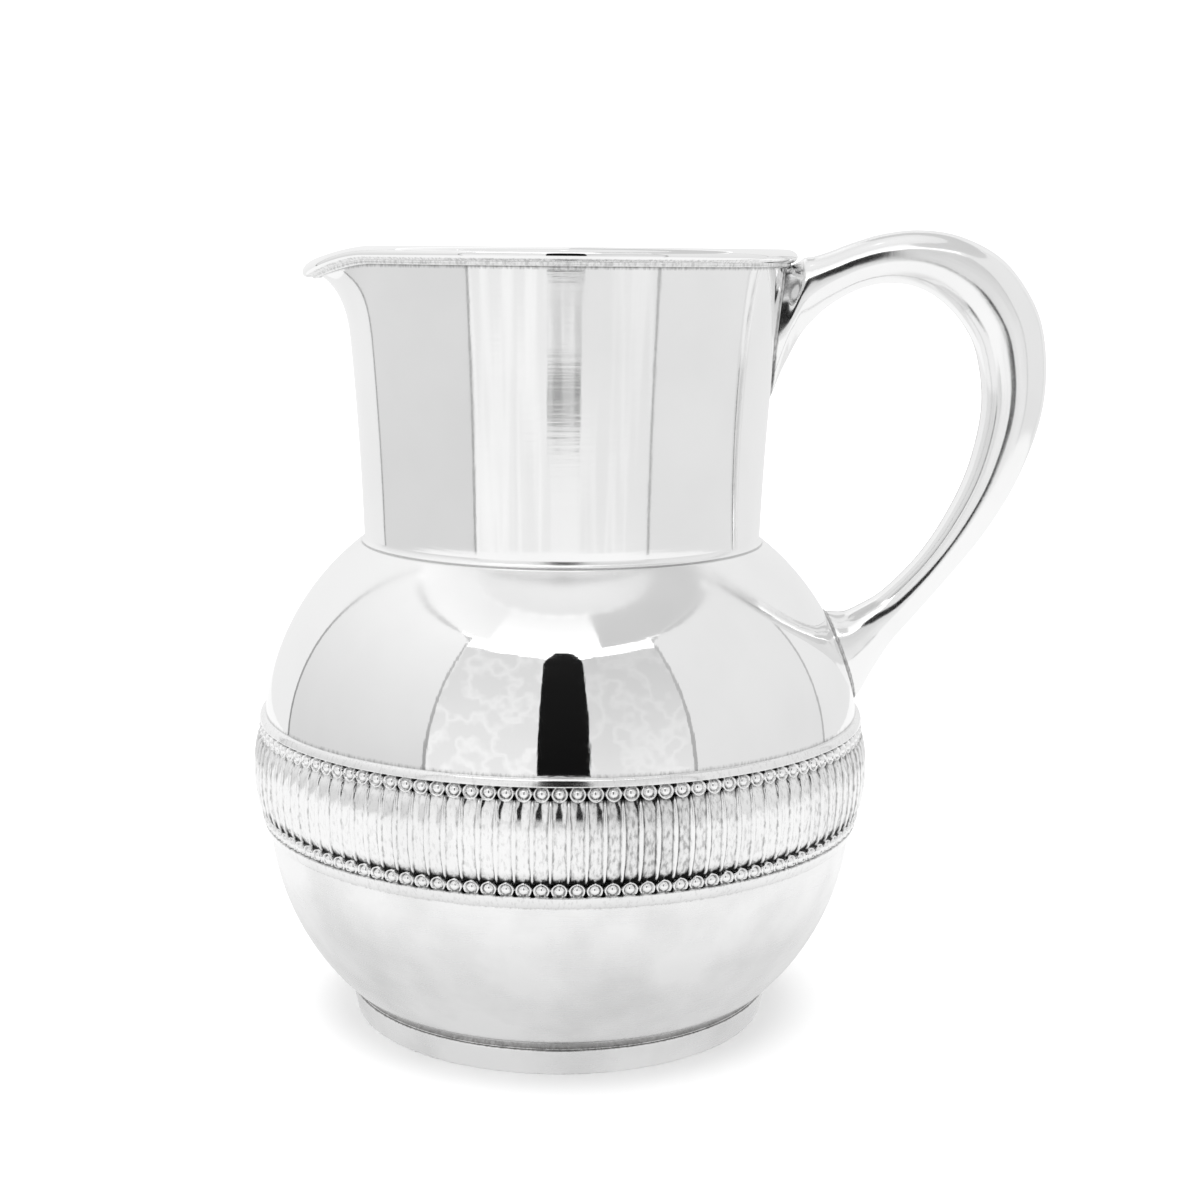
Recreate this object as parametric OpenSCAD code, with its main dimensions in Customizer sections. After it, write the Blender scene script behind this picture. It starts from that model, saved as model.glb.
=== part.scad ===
// Silver water pitcher: a raised and soldered round body on a ring foot, with a fluted band,
// a flared neck drawn out into a pouring lip, a moulded rim wire and a hollow loop handle.
// Millimetres. +Z is up, the origin is the centre of the plane that the foot stands on,
// the handle is at +X and the lip is at -X.

/* [Body] */
// Widest radius of the shoulder, the upper half of the body
belly_r = 77.05; // [68:0.05:93]
// How much narrower the lower bowl is than the shoulder
bowl_step = 1.15; // [0.5:0.05:2]
// Radius of the lower bowl's outline
bowl_arc = 62.5; // [55:0.5:66]
// Radius of the shoulder's outline
shoulder_arc = 64.7; // [56:0.1:68]
// Height from the base to the lower bowl's widest point
bowl_rise = 45.3; // [38:0.1:54]
// Height between the widest points of the bowl and the shoulder
middle_rise = 18.3; // [15:0.1:22]
// Radius of the body's outline behind the band
seat_arc = 78; // [65:0.5:95]
// Radius of the corner between the base and the bowl
base_corner = 3; // [2:0.1:4]
// Thickness of the body's sheet
wall = 0.9; // [0.7:0.05:1.1]

/* [Foot] */
// Height of the foot ring
foot_h = 6.8; // [5:0.1:9]
// Thickness of the foot ring at its top
foot_t = 3; // [2:0.1:4]
// How far the foot ring leans in from its top to its bottom
foot_batter = 1.2; // [0:0.1:2]
// Size of the foot ring's softened edges
foot_edge = 0.4; // [0.2:0.1:0.8]
// Height of the concave collar between foot and bowl
collar_h = 2.2; // [1.6:0.1:3]
// Depth of the collar's hollow
collar_cove = 1.35; // [0.8:0.05:1.6]

/* [Neck] */
// Radius of the neck where it leaves the shoulder
neck_r = 50.8; // [44:0.1:58]
// Radius of the neck under the rim
neck_top_r = 55.7; // [50:0.1:64]
// Length of the neck from the shoulder to the rim
neck_len = 70; // [58:1:84]
// Share of the flare that is straight, the rest being curved
flare_straight = 0.44; // [0:0.01:1]

/* [Lip] */
// Half of the angle that the lip takes up
lip_half = 38; // [30:1:44]
// How far the lip is drawn outwards
lip_reach = 6.6; // [4:0.1:9]
// How far the lip's edge is drawn down
lip_dip = 3.8; // [1:0.1:5]
// Length of the neck that the lip is drawn from
lip_depth = 20.7; // [15:0.1:28]
// How far the edge tilts outwards at the tip, in degrees
lip_tilt = 32; // [15:1:40]

/* [Rim] */
// Height of the rim wire
rim_h = 3.2; // [2.6:0.1:4]
// How far the rim wire stands out from the neck
rim_out = 3.1; // [2.4:0.1:4]
// Height of the step under the rim wire
skirt_h = 1.1; // [0.6:0.1:1.6]
// How far that step stands out from the neck
skirt_out = 1.4; // [0.8:0.1:1.8]

/* [Band] */
// Height of the whole band
band_h = 31; // [25:0.5:37]
// How far the band's middle is above the middle of the body
band_lift = 1.55; // [0:0.05:3]
// Thickness of the fluted strip at its middle
band_t = 2.1; // [1.7:0.1:2.6]
// Radius of the fluted strip's outline
band_arc = 37.6; // [30:0.1:45]
// Number of flutes
flutes = 120; // [96:4:144]
// Depth of a flute
flute_depth = 0.6; // [0.3:0.05:0.8]
// Height of the upper bead border
upper_border_h = 5.1; // [4:0.1:6]
// Height of the lower bead border
lower_border_h = 6.2; // [5:0.1:7]
// Thickness of the border strips
border_t = 0.9; // [0.7:0.05:1.1]
// Radius of a bead
bead_r = 1.03; // [0.8:0.01:1.1]
// How far a bead stands out of its border
bead_proud = 0.45; // [0.3:0.05:0.6]
// Height of a row of beads from the fluted strip's edge
bead_edge = 1.5; // [1.3:0.1:2]

/* [Handle] */
// How far the middle of the grip stands out from the body
grip_reach = 53; // [44:0.5:64]
// Height of the lower root's middle above the band
root_rise = 12.5; // [12:0.1:18]
// Thickness of the handle's sheet
handle_wall = 0.9; // [0.7:0.05:1.2]
// How much wider and thicker the handle is made than its stations say
grip_grow = 0; // [-0.5:0.1:1.5]
// Thickness of the plates under the handle's roots
patch_t = 0.6; // [0.4:0.05:0.8]
// How far a plate shows round its root
patch_rim = 0.7; // [0.5:0.1:1]

/* [Hidden] */
$fn = 120;

// ---- heights and centres that follow from the sizes ----
base_z = foot_h + collar_h;
bowl_z = base_z + bowl_rise;
shoulder_z = bowl_z + middle_rise;
bowl_x = belly_r - bowl_step - bowl_arc;
shoulder_x = belly_r - shoulder_arc;
band_z = (bowl_z + shoulder_z) / 2 + band_lift;
band_low = band_z - band_h / 2;
band_high = band_z + band_h / 2;

function arc_x(x, z, r, at) = x + sqrt(r * r - (at - z) * (at - z));
function arc_z(x, z, r, at) = z + sqrt(r * r - (at - x) * (at - x));

crease_z = arc_z(shoulder_x, shoulder_z, shoulder_arc, neck_r);
neck_low = arc_z(shoulder_x, shoulder_z, shoulder_arc - wall, neck_r);
neck_top = crease_z + neck_len;
lip_z = neck_top - lip_depth;

// The corner of the base touches both the base plane and the bowl's outline.
corner_z = base_z + base_corner;
corner_x = bowl_x + sqrt(pow(bowl_arc - base_corner, 2) - pow(bowl_z - corner_z, 2));
corner_turn = atan2(corner_z - bowl_z, corner_x - bowl_x);

// The seat behind the band is an arc through the ends of the bowl and the shoulder.
function arc_centre(low, high, r) =
    let (d = high - low, h = sqrt(r * r - d * d / 4))
    (low + high) / 2 + h * [-d[1], d[0]] / norm(d);
function seat_low(inset) = [arc_x(bowl_x, bowl_z, bowl_arc - inset, band_low), band_low];
function seat_high(inset) = [arc_x(shoulder_x, shoulder_z, shoulder_arc - inset, band_high), band_high];
function seat_centre(inset) = arc_centre(seat_low(inset), seat_high(inset), seat_arc);
function seat_x(at) = arc_x(seat_centre(0)[0], seat_centre(0)[1], seat_arc, at);

// The foot ring stands just inside the corner of the base.
foot_inset = 0.2;
foot_r = corner_x - foot_inset;

// Longer than anything that a cut has to reach across
reach_all = 2 * (belly_r + grip_reach);

// ---- outlines ----
// Points of an arc at evenly spaced heights
function arc_points(c, r, low, high, steps) =
    [for (i = [0 : steps]) let (z = low + (high - low) * i / steps) [arc_x(c[0], c[1], r, z), z]];

// Points of an arc at evenly spaced angles
function turn_points(c, r, a, b, steps) =
    [for (i = [0 : steps]) let (t = a + (b - a) * i / steps) c + r * [cos(t), sin(t)]];

bowl_end = asin((band_low - bowl_z) / bowl_arc);
bowl_steps = 12;
corner_steps = 4;
seat_steps = 6;
shoulder_steps = 10;

function shoulder_points(inset) =
    let (r = shoulder_arc - inset)
    turn_points([shoulder_x, shoulder_z], r, asin((band_high - shoulder_z) / r),
                asin((crease_z - shoulder_z) / r), shoulder_steps);

// Half of the body's cross-section, drawn in from its outside by inset
function body_outline(inset) = concat(
    [[0, base_z + inset]],
    turn_points([corner_x, corner_z], base_corner - inset, -90, corner_turn, corner_steps),
    [for (i = [1 : bowl_steps]) let (t = corner_turn + (bowl_end - corner_turn) * i / bowl_steps)
        [bowl_x, bowl_z] + (bowl_arc - inset) * [cos(t), sin(t)]],
    arc_points(seat_centre(inset), seat_arc, band_low + inset, band_high - inset, seat_steps),
    shoulder_points(inset),
    [[0, crease_z]]);

module body_section(inset) polygon(body_outline(inset));

module body_shell(low, high, inner_r) {
    rotate_extrude() intersection() {
        difference() {
            body_section(0);
            body_section(wall);
        }
        translate([inner_r, low]) square([reach_all, high - low]);
    }
}

// ---- foot ----
// How far the collar reaches in past the foot ring
collar_ledge = 1;

module foot_ring() {
    bottom_r = foot_r - foot_batter;
    color("gainsboro") rotate_extrude() polygon([
        [foot_r - foot_t, 0], [bottom_r - foot_edge, 0], [bottom_r, foot_edge],
        [foot_r, foot_h - foot_edge], [foot_r - foot_edge, foot_h], [foot_r - foot_t, foot_h]
    ]);
}

module foot_collar() {
    collar_r = foot_r - foot_edge;
    cove_r = (collar_h * collar_h + collar_cove * collar_cove) / (2 * collar_cove);
    color("silver") rotate_extrude() difference() {
        translate([foot_r - foot_t - collar_ledge, foot_h])
            square([foot_t + collar_ledge - foot_edge, collar_h]);
        translate([collar_r - collar_cove + cove_r, base_z]) circle(cove_r);
    }
}

// ---- body ----
module lower_bowl() color("gainsboro") body_shell(0, band_z, 0);

module shoulder() color("whitesmoke") body_shell(band_z, crease_z, neck_r);

// ---- neck and lip ----
flare_steps = 4;
lip_steps = 7;
// The part of the turn that the lip is in, which has closer columns than the rest
wedge_half = 45;
wedge_turns = 24;
plain_turns = 48;
// How late the lip's edge swings out, and how late it dips
lip_swing = 2.4;
lip_fall = 3;
neck_levels = concat(
    [for (i = [0 : flare_steps - 1]) crease_z + (lip_z - crease_z) * i / flare_steps],
    [for (i = [0 : lip_steps]) lip_z + lip_depth * i / lip_steps]);

function neck_x(z) =
    let (t = (z - crease_z) / neck_len)
    neck_r + (neck_top_r - neck_r) * (flare_straight * t + (1 - flare_straight) * t * t);

// How strongly the lip acts at an angle from its middle, from 0 to 1
function lip_share(a) = abs(a) >= lip_half ? 0 : pow(cos(90 * a / lip_half), 2);

// Outer point of the neck at a level and an angle from the lip's middle, and its tilt
function neck_point(z, a) =
    let (s = max(0, (z - lip_z) / lip_depth), w = lip_share(a))
    [neck_x(z) + lip_reach * w * pow(s, lip_swing), z - lip_dip * w * pow(s, lip_fall),
     lip_tilt * w * s * s];

// A point beside an outer point, across and up in the tilted frame
function beside(p, across, up) =
    [p[0] + across * cos(p[2]) + up * sin(p[2]), p[1] - across * sin(p[2]) + up * cos(p[2])];

function neck_loop(a) = concat(
    [[neck_r - wall, neck_low], [neck_r, neck_low]],
    [for (z = neck_levels) beside(neck_point(z, a), 0, 0)],
    [for (i = [len(neck_levels) - 1 : -1 : 0]) beside(neck_point(neck_levels[i], a), -wall, 0)]);

// Puts a half-plane outline at an angle from the lip's middle, which is at -X
function placed(loop, a) = [for (p = loop) [-p[0] * cos(a), -p[0] * sin(a), p[1]]];

// Joins a row of outlines into a solid: a closed ring, or one with flat ends
module skin(loops, ring = false) {
    n = len(loops[0]);
    m = len(loops);
    polyhedron(
        points = [for (loop = loops) for (p = loop) p],
        faces = concat(
            ring ? [] : [[for (k = [n - 1 : -1 : 0]) k], [for (k = [0 : n - 1]) (m - 1) * n + k]],
            [for (i = [0 : ring ? m - 1 : m - 2]) for (k = [0 : n - 1])
                let (j = (i + 1) % m) [i * n + k, i * n + (k + 1) % n, j * n + (k + 1) % n, j * n + k]]),
        convexity = 6);
}

// Angles from the lip's middle, closer together where the lip is
turns = concat(
    [for (i = [0 : wedge_turns - 1]) wedge_half * (2 * i / wedge_turns - 1)],
    [for (i = [0 : plain_turns - 1]) wedge_half + (360 - 2 * wedge_half) * i / plain_turns]);

module neck() color("whitesmoke") skin([for (a = turns) placed(neck_loop(a), a)], ring = true);

// ---- rim ----
// Height of the wire's widest point, and the half width of its roll
rim_bulge = 1.3;
roll_half = 3.3;
// How much lower the wire's inner edge is than its top
rim_drop = 0.5;
rim_arc_low = -40;
rim_arc_steps = 6;
crown_x = rim_out - roll_half;
rim_outline = concat(
    [[-wall, 0], [0, 0], [0, -skirt_h], [skirt_out / 2, -skirt_h],
     [skirt_out, -skirt_h / 2], [skirt_out, 0]],
    [for (i = [0 : rim_arc_steps])
        let (a = rim_arc_low + (90 - rim_arc_low) * i / rim_arc_steps)
        [crown_x + (rim_out - crown_x) * cos(a), rim_bulge + (rim_h - rim_bulge) * sin(a)]],
    [[-wall, rim_h - rim_drop]]);

function rim_loop(a) = [for (q = rim_outline) beside(neck_point(neck_top, a), q[0], q[1])];

module rim_wire() color("silver") skin([for (a = turns) placed(rim_loop(a), a)], ring = true);

// ---- band ----
strip_low = band_low + lower_border_h;
strip_high = band_high - upper_border_h;
strip_z = (strip_low + strip_high) / 2;
strip_r = seat_x(strip_z) + band_t;
// Clearance between the strip's flat facets and the round body behind them
back_gap = 0.01;
// Facets of the circles that the border strips are cut from
border_facets = 480;

module ring_between(x, z, r, low, high) {
    intersection() {
        translate([x, z]) circle(r, $fn = border_facets);
        translate([neck_r, low]) square([reach_all, high - low]);
    }
}

strip_steps = 4;
seat_levels = [for (i = [0 : seat_steps]) band_low + band_h * i / seat_steps];
strip_back = concat([strip_high],
    [for (i = [seat_steps : -1 : 0])
        if (seat_levels[i] < strip_high && seat_levels[i] > strip_low) seat_levels[i]],
    [strip_low]);

// The strip's outline where its face is a given depth below the crests
function strip_loop(depth) = concat(
    [for (i = [0 : strip_steps]) let (z = strip_low + (strip_high - strip_low) * i / strip_steps)
        [arc_x(strip_r - band_arc, strip_z, band_arc, z) - depth, z]],
    [for (z = strip_back) [seat_x(z) + back_gap, z]]);

module fluted_band() {
    color("darkgray") skin([for (i = [0 : 2 * flutes - 1])
        placed(strip_loop(flute_depth * (i % 2)), 180 * i / flutes)], ring = true);
}

// A border strip with the rail that its row of beads makes
module bead_border(low, high, bead_z) {
    seat = seat_centre(0);
    color("silver") rotate_extrude() difference() {
        union() {
            ring_between(seat[0], seat[1], seat_arc + border_t, low, high);
            translate([seat_x(bead_z) + border_t + bead_proud - bead_r, bead_z]) circle(bead_r);
        }
        body_section(0);
    }
}

module upper_bead_border() bead_border(strip_high, band_high, strip_high + bead_edge);

module lower_bead_border() bead_border(band_low, strip_low, strip_low - bead_edge);

// ---- handle ----
// The handle runs between two anchors: the neck's top edge and the middle of the lower root.
root_z = band_high + root_rise;
anchor_top = [neck_top_r, neck_top + rim_h];
anchor_low = [arc_x(shoulder_x, shoulder_z, shoulder_arc, root_z), root_z];

// Stations along the handle: share of the drop between the anchors, share of the reach,
// half thickness, angle of the section, half width, and how pointed its inner and outer ends are.
stations = [
    [0.210, -0.150, 17.0,  85, 8.2, 0.80, 0],
    [0.195, -0.075, 16.7,  82, 8.2, 0.80, 0],
    [0.150, -0.005, 13.3,  82, 8.0, 0.70, 0],
    [0.110,  0.055,  9.5,  89, 7.6, 0.50, 0],
    [0.083,  0.130,  7.1,  99, 7.2, 0.25, 0],
    [0.060,  0.220,  6.0, 108, 7.0, 0.05, 0],
    [0.037,  0.335,  5.8, 109, 7.0, 0, 0],
    [0.020,  0.475,  6.2,  97, 7.2, 0, 0],
    [0.018,  0.620,  7.0,  83, 7.5, 0, 0],
    [0.036,  0.760,  8.0,  68, 7.8, 0, 0],
    [0.079,  0.890,  8.9,  48, 8.0, 0, 0],
    [0.145,  0.975,  9.0,  31, 8.2, 0, 0],
    [0.218,  1.013,  8.8,  17, 8.2, 0, 0],
    [0.328,  1.003,  8.1,   0, 8.0, 0, 0],
    [0.432,  0.945,  7.3, -12, 7.6, 0, 0],
    [0.556,  0.825,  6.3, -23, 6.9, 0, 0],
    [0.667,  0.673,  5.5, -31, 6.2, 0, 0],
    [0.769,  0.496,  4.9, -39, 5.6, 0, 0],
    [0.861,  0.305,  5.3, -45, 5.6, 0, 0],
    [0.913,  0.176,  6.5, -52, 6.4, 0, 0.10],
    [0.958,  0.076,  8.8, -63, 8.0, 0.05, 0.30],
    [0.990, -0.010, 12.0, -69, 9.3, 0.10, 0.45],
    [1.012, -0.085, 12.6, -71, 9.6, 0.10, 0.45]];
rings_per_station = 2;
section_steps = 8;

function between(a, b, c, d, t) =
    (2 * b + (c - a) * t + (2 * a - 5 * b + 4 * c - d) * t * t
        + (3 * b - a - 3 * c + d) * t * t * t) / 2;

last_station = len(stations) - 1;
function station_at(u) =
    let (i = min(floor(u), last_station - 1))
    between(stations[max(i - 1, 0)], stations[i], stations[i + 1],
            stations[min(i + 2, last_station)], u - i);

// One point of the section: its place in the handle's plane, and its distance from that plane
function section_point(s, a, inset) =
    let (half_t = s[2] + grip_grow - inset, half_w = s[4] + grip_grow - inset,
         point = a > 90 ? s[5] : s[6], lean = cos(a) * cos(a) * point)
    [half_t * cos(a), half_w * sin(a) * (1 - lean)];

// The upper root is laid out over a length of its own, so it stays against the rim whatever
// the neck's length is. The rest of the handle stretches between its anchors.
root_span = 104.8;
root_blend = 0.3;
function root_share(s) = s[0] < 0.5 ? min(1, max(0, 1 - s[1] / root_blend)) : 0;
function middle(s) =
    let (all = anchor_top[1] - anchor_low[1],
         drop = s[0] * (all + (root_span - all) * root_share(s)))
    [anchor_top[0] * (1 - s[0]) + anchor_low[0] * s[0] + grip_reach * s[1], anchor_top[1] - drop];

function handle_loop(s, side) =
    let (mid = middle(s),
         steps = [for (i = [0 : section_steps]) 180 * i / section_steps],
         flat = concat(
             [for (a = steps) section_point(s, a, 0)],
             [for (i = [section_steps : -1 : 0]) section_point(s, steps[i], handle_wall)]))
    [for (q = flat) [mid[0] + q[0] * cos(s[3]), side * q[1], mid[1] + q[0] * sin(s[3])]];

// Everything that the handle's roots stop against: body, patches and rim
module root_cutter() {
    rotate_extrude() union() {
        polygon(concat([[0, band_z], [shoulder_points(-patch_t)[0][0], band_z]],
                       shoulder_points(-patch_t), [[0, crease_z]]));
        polygon(concat(
            [[0, crease_z - patch_t], [neck_r + patch_t, crease_z - patch_t]],
            [for (z = neck_levels) [neck_x(z) + patch_t, z]],
            [[0, neck_top]]));
        polygon(concat([[0, neck_top - skirt_h]], [for (i = [2 : len(rim_outline) - 1])
            [neck_top_r + rim_outline[i][0], neck_top + rim_outline[i][1]]],
            [[0, neck_top + rim_h]]));
    }
}

module handle_half(side) {
    loops = [for (j = [0 : last_station * rings_per_station])
        handle_loop(station_at(j / rings_per_station), side)];
    ordered = side < 0 ? loops : [for (j = [len(loops) - 1 : -1 : 0]) loops[j]];
    difference() {
        skin(ordered);
        root_cutter();
    }
}

module handle_near_half() color("whitesmoke") handle_half(-1);

module handle_far_half() color("gainsboro") handle_half(1);

// Outline of a root seen along X, grown by the rim that the patch shows
module root_outline(s) {
    mid_z = middle(s)[1];
    edge = [for (i = [0 : section_steps]) section_point(s, 180 * i / section_steps, -patch_rim)];
    polygon(concat(
        [for (q = edge) [q[1], mid_z + q[0] * sin(s[3])]],
        [for (i = [section_steps - 1 : -1 : 1]) [-edge[i][1], mid_z + edge[i][0] * sin(s[3])]]));
}

module root_prism(s) {
    rotate([90, 0, 90]) linear_extrude(reach_all) root_outline(s);
}

module upper_handle_patch() {
    color("silver") intersection() {
        rotate_extrude() polygon(concat(
            [for (z = neck_levels) [neck_x(z), min(z, neck_top - skirt_h)]],
            [for (i = [len(neck_levels) - 1 : -1 : 0])
                [neck_x(neck_levels[i]) + patch_t, min(neck_levels[i], neck_top - skirt_h)]]));
        root_prism(stations[1]);
    }
}

module lower_handle_patch() {
    color("silver") intersection() {
        rotate_extrude() polygon(concat(shoulder_points(-patch_t),
            [for (i = [shoulder_steps : -1 : 0]) shoulder_points(0)[i]]));
        root_prism(stations[last_station - 1]);
    }
}

foot_ring();
foot_collar();
lower_bowl();
shoulder();
neck();
rim_wire();
fluted_band();
upper_bead_border();
lower_bead_border();
handle_near_half();
handle_far_half();
upper_handle_patch();
lower_handle_patch();
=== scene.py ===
"""A silver water pitcher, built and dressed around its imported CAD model.

Lengths inside the classes are in millimetres and every mesh is made in metres. +Z is up, the
pouring lip is at -X and the handle at +X.
"""

import logging
import math
from dataclasses import astuple, dataclass
from enum import Enum
from functools import cache

import bpy
import numpy as np
from mathutils import Matrix, Vector


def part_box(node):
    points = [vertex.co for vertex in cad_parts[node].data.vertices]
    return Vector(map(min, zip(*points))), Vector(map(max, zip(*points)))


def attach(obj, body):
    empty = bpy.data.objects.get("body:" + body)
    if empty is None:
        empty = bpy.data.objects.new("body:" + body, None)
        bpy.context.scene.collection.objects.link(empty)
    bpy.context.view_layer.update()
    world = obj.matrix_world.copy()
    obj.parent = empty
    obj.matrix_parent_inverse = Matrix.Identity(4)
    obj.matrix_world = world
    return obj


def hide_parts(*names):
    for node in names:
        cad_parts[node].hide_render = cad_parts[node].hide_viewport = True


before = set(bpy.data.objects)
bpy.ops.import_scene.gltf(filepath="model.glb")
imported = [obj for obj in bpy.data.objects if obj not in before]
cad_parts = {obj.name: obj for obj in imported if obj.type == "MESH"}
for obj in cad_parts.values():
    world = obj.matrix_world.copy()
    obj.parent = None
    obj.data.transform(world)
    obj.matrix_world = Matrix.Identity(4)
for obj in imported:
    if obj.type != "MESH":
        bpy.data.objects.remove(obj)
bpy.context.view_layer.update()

MM = 0.001
BODY = "root"
TURNS = 288
FINE_TURNS = 480

log = logging.getLogger("pitcher")

Grid = np.ndarray
Object = bpy.types.Object
Material = bpy.types.Material
Socket = bpy.types.NodeSocket


class Wear(Enum):
    """How a silver surface has aged, which also names its material."""

    POLISHED = "polished_silver"
    WORN = "worn_silver"
    TARNISHED = "tarnished_silver"


# ---- shapes ----


def arc(centre: tuple[float, float], radius: float, start: float, end: float, steps: int) -> Grid:
    """Points of an arc.

    Args:
        centre: the arc's centre.
        radius: its radius.
        start: the first angle in degrees.
        end: the last angle in degrees.
        steps: how many steps it takes.

    Returns:
        An array of steps + 1 points.
    """
    t = np.radians(np.linspace(start, end, steps + 1))
    return np.stack([centre[0] + radius * np.cos(t), centre[1] + radius * np.sin(t)], axis=1)


def smooth(value: Grid | float, low: float, high: float) -> Grid:
    """A soft step from 0 at low to 1 at high.

    Args:
        value: where to read the step.
        low: where it starts.
        high: where it ends.

    Returns:
        The step's height at each value.
    """
    t = np.clip((np.asarray(value, float) - low) / (high - low), 0, 1)
    return t * t * (3 - 2 * t)


def peak(value: Grid, middle: float | Grid, half: float) -> Grid:
    """A soft hump, 1 at the middle and fading over the half width."""
    return np.exp(-(((value - middle) / half) ** 2))


def lathe(profile: Grid, turns: int = TURNS) -> Grid:
    """Turns a profile of (radius, height) points about the Z axis.

    Args:
        profile: the points in order.
        turns: how many columns the turned grid has.

    Returns:
        A grid of points, with a row for each profile point.
    """
    a = np.linspace(0, 2 * math.pi, turns, endpoint=False)
    r, z = profile[:, 0], profile[:, 1]
    flat = np.broadcast_to(z[:, None], (len(z), turns))
    return np.stack([r[:, None] * np.cos(a), r[:, None] * np.sin(a), flat], axis=2)


@dataclass
class Piece:
    """A mesh made from a grid of points, with how much patina and painted shade darken each point and
    how dulled each point is.
    """

    name: str
    grid: Grid
    closed_rows: bool = True
    closed_columns: bool = True
    tarnish_and_shade: Grid | None = None
    haze: Grid | float = 0.0
    caps: bool = False

    def faces(self) -> Grid:
        """Lists the faces that join neighbouring points of the grid.

        Returns:
            The four vertex numbers of each face.
        """
        rows, columns = self.grid.shape[:2]
        i = np.arange(rows if self.closed_rows else rows - 1)
        j = np.arange(columns if self.closed_columns else columns - 1)
        i, j = (k.ravel() for k in np.meshgrid(i, j, indexing="ij"))
        down, across = (i + 1) % rows, (j + 1) % columns
        corners = [i * columns + j, i * columns + across, down * columns + across, down * columns + j]
        found = np.stack(corners, axis=1)
        if self.caps:
            last = (rows - 1) * columns
            k = np.arange(columns // 2 - 1)
            mate = columns - 1 - k
            start = np.stack([k, mate, mate - 1, k + 1], axis=1)
            end = np.stack([k, k + 1, mate - 1, mate], axis=1) + last
            found = np.vstack([found, start, end])
        return found

    def build(self) -> Object:
        """Makes the mesh object.

        Returns:
            The object, linked to the scene, in metres.
        """
        mesh = bpy.data.meshes.new(self.name)
        faces = self.faces()
        mesh.vertices.add(self.grid.shape[0] * self.grid.shape[1])
        mesh.vertices.foreach_set("co", np.ascontiguousarray(self.grid * MM, np.float32).ravel())
        mesh.loops.add(faces.size)
        mesh.loops.foreach_set("vertex_index", faces.astype(np.int32).ravel())
        mesh.polygons.add(len(faces))
        mesh.polygons.foreach_set("loop_start", np.arange(0, faces.size, 4, dtype=np.int32))
        # darkening: patina, stains and dirty joints together with painted shade in creases, pits and
        # undersides
        darkening = np.zeros(self.grid.shape[:2]) if self.tarnish_and_shade is None else self.tarnish_and_shade
        for title, value in (("tarnish_and_shade", darkening), ("haze", self.haze + 0 * darkening)):
            layer = mesh.attributes.new(title, "FLOAT", "POINT")
            layer.data.foreach_set("value", np.ascontiguousarray(value, np.float32).ravel())
        mesh.polygons.foreach_set("use_smooth", np.ones(len(mesh.polygons), bool))
        mesh.update(calc_edges=True)
        mesh.validate()
        obj = bpy.data.objects.new(self.name, mesh)
        bpy.context.scene.collection.objects.link(obj)
        return obj


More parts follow.
